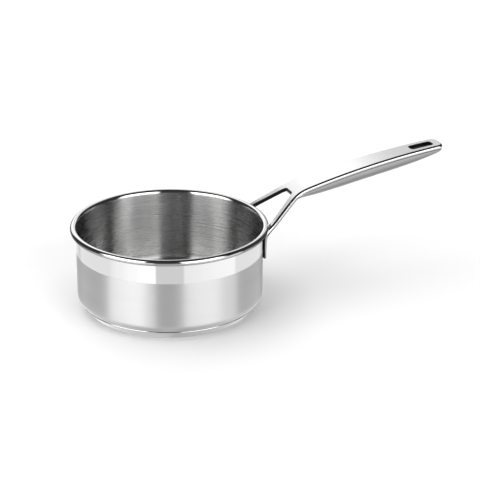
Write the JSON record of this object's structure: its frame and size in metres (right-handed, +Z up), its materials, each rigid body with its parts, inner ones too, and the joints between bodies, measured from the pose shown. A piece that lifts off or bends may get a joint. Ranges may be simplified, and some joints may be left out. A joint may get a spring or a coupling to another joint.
{
  "type": "saucepan",
  "caption": "Stainless-steel saucepan with a rolled pouring rim, an encapsulated base and a forked hollow handle with a hanging slot.",
  "frame": {"origin": "centre of the flat face that the pan stands on", "axes": "+Z up along the vessel's axis, out of its mouth; +X along the handle, away from the vessel; +Y to the left seen from the vessel towards the handle's tip"},
  "size_m": [0.346, 0.1712, 0.1182],
  "materials": {
    "vessel_steel": "satin wall, polished rim and band under it, brushed inside",
    "core_aluminium": "mill finish",
    "cap_steel": "satin",
    "handle_steel": "brushed top, polished edges",
    "belly_steel": "satin"
  },
  "bodies": {
    "root": {"vessel": "vessel_steel", "base_core": "core_aluminium", "base_cap": "cap_steel", "handle_fork": "handle_steel", "handle_belly": "belly_steel"}
  },
  "joints": []
}
